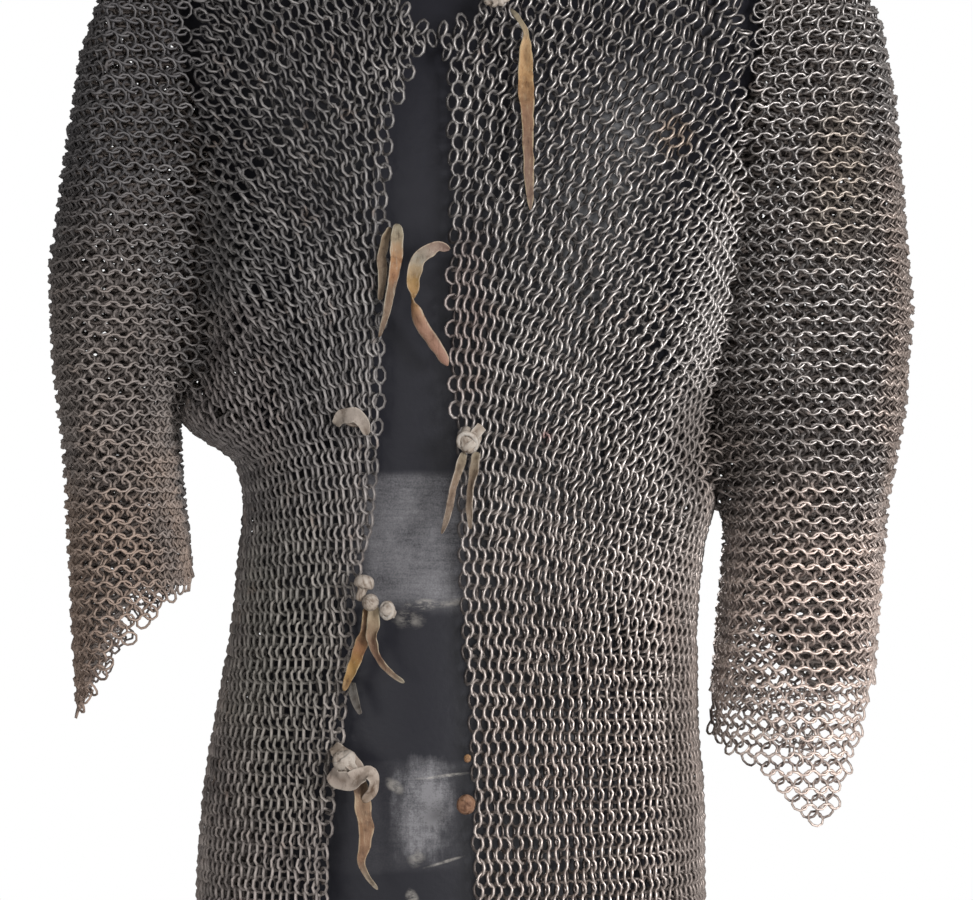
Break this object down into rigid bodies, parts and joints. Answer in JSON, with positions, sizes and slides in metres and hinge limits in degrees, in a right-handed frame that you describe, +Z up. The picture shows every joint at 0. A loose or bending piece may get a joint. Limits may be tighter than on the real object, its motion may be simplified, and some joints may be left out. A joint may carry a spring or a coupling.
{
  "type": "mail hauberk on a limbless torso form",
  "caption": "Open-fronted mail shirt with half sleeves, ragged cuffs and leather ties, standing on a dark limbless torso form.",
  "frame": {"origin": "the middle of the torso form's flat base, on the surface that it stands on", "axes": "+Z up along the form, the open front faces -Y, +X is to the right as seen from the front"},
  "size_m": [0.585, 0.2521, 0.92],
  "materials": {
    "mail": "dark worn steel rings with patches of brown rust",
    "form": "dark slate, satin, scuffed",
    "leather": "aged pale hide, matte"
  },
  "bodies": {
    "root": {"torso_form": "form", "front_left": "mail", "front_right": "mail", "back": "mail", "sleeve_left": "mail", "sleeve_right": "mail", "tie_neck": "leather", "tie_upper_left": "leather", "tie_upper_right": "leather", "tie_mid_right_a": "leather", "tie_mid_right_b": "leather", "tie_mid_left_a": "leather", "tie_mid_left_b": "leather", "tie_low_left": "leather", "fold_upper_left": "leather", "loop_low_left_a": "leather", "loop_low_left_b": "leather", "end_mid_left": "leather", "knot_neck": "leather", "nub_left": "leather", "knot_mid_right": "leather", "bead_mid_left_a": "leather", "bead_mid_left_b": "leather", "bead_mid_left_c": "leather", "knot_low_left": "leather", "knob_low_right": "leather", "bit_low_right": "leather"}
  },
  "joints": []
}
